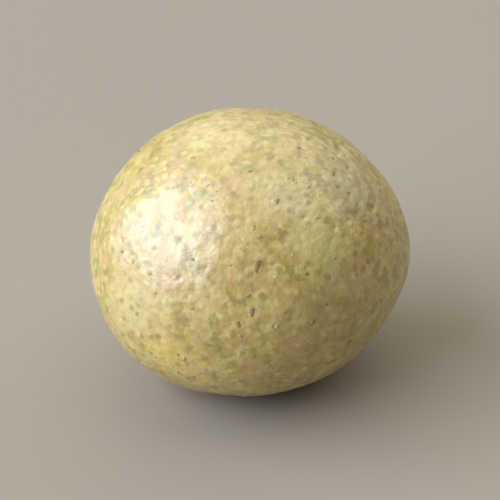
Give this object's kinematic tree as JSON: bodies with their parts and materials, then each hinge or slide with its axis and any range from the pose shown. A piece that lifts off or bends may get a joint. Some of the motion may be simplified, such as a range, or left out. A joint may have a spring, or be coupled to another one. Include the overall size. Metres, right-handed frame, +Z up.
{
  "type": "foxtail millet ladoo",
  "caption": "Hand-rolled ball of pressed millet flour and ghee, a little wider than it is tall, with palm marks, broken grains in its skin and a small flat spot to rest on.",
  "frame": {"origin": "on the surface the ball stands on, under the middle of its box", "axes": "+Z up through the rest spot, +X to the right and +Y away from the side shown in the picture"},
  "size_m": [0.04, 0.0376, 0.0346],
  "materials": {
    "dough": "pressed millet flour and ghee: cream yellow mottled with straw and olive, matt crumb with a faint greasy sheen",
    "grain": "broken millet grain: pale cream, waxy",
    "bran": "roasted husk and bran: dark olive brown, matt"
  },
  "bodies": {
    "root": {"ladoo": "dough"}
  },
  "joints": []
}
